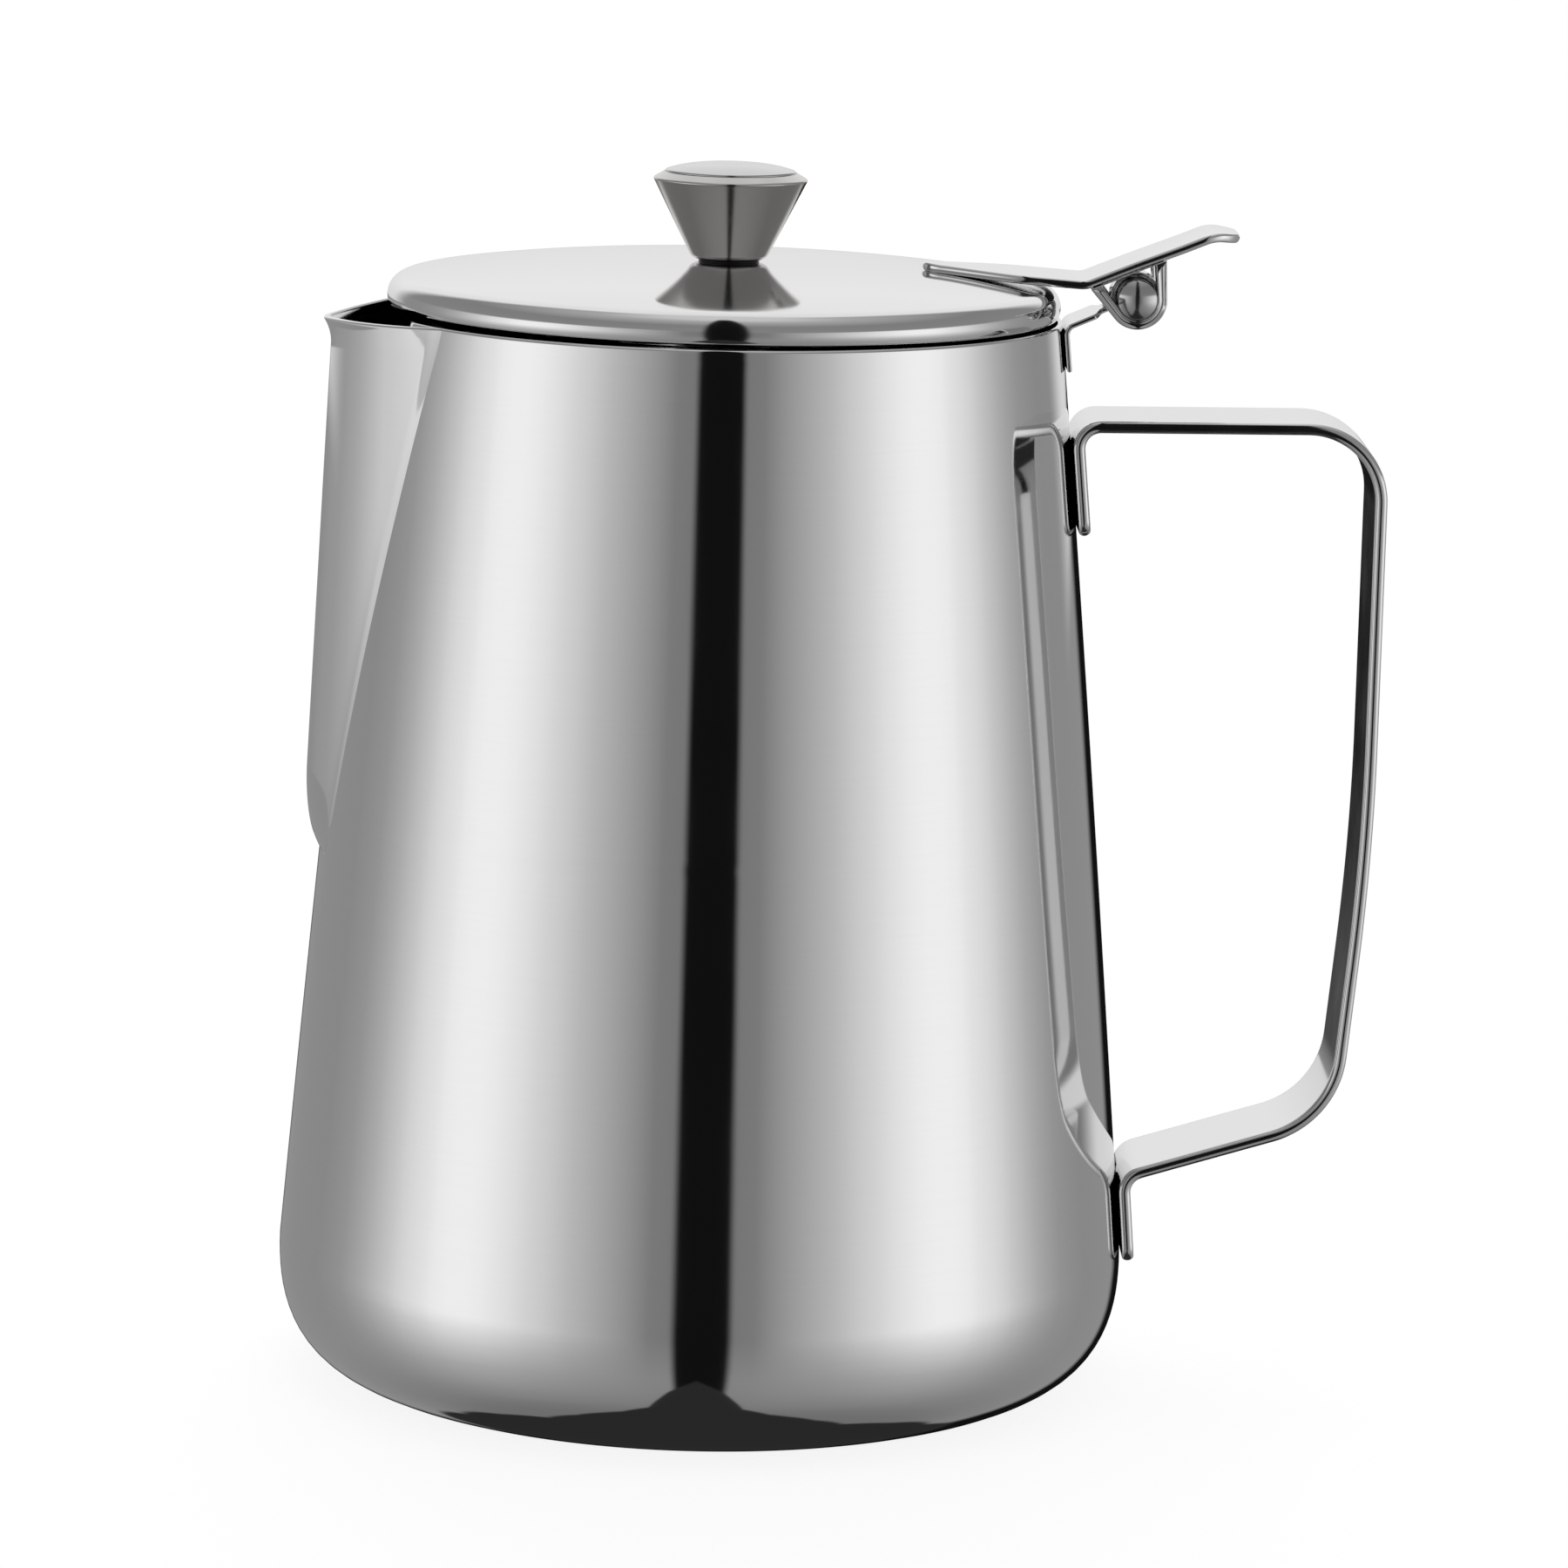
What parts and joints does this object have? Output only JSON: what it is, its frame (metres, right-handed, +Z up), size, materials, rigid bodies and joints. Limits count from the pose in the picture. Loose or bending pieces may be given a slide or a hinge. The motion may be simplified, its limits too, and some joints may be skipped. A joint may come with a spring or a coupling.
{
  "type": "hot milk jug with hinged lid",
  "caption": "Stainless steel milk jug with a V spout, strap handle, and a domed lid that opens on a rear hinge by a thumb lever.",
  "frame": {"origin": "middle of the flat base, on the surface that the jug stands on", "axes": "+Z up along the pot's axis, -X towards the spout, +X towards the handle and the lid's hinge, +Y away from the camera"},
  "size_m": [0.1724, 0.135, 0.1935],
  "materials": {
    "pot_steel": "mirror polished stainless steel",
    "strap_steel": "bright polished stainless steel strip",
    "lid_steel": "polished stainless steel sheet",
    "pin_steel": "turned steel",
    "knob_steel": "satin, circularly brushed dark steel",
    "cap_steel": "satin pale steel",
    "neck_ring": "black heat-proof washer"
  },
  "bodies": {
    "jug": {"body": "pot_steel", "spout": "pot_steel", "handle": "strap_steel", "hinge_bracket": "strap_steel", "hinge_pin": "pin_steel"},
    "lid": {"hinge_loop": "strap_steel", "thumb_lever": "strap_steel", "lid_cover": "lid_steel", "lid_ring": "lid_steel", "neck_washer": "neck_ring", "knob_cone": "knob_steel", "knob_cap": "cap_steel", "knob_screw": "pin_steel", "screw_washer": "pin_steel"}
  },
  "joints": [
    {"name": "lid_hinge", "type": "hinge", "parent": "jug", "child": "lid", "pos_m": [0.0649, 0, 0.1742], "axis": [0, 1, 0], "range_deg": [0, 95]}
  ]
}
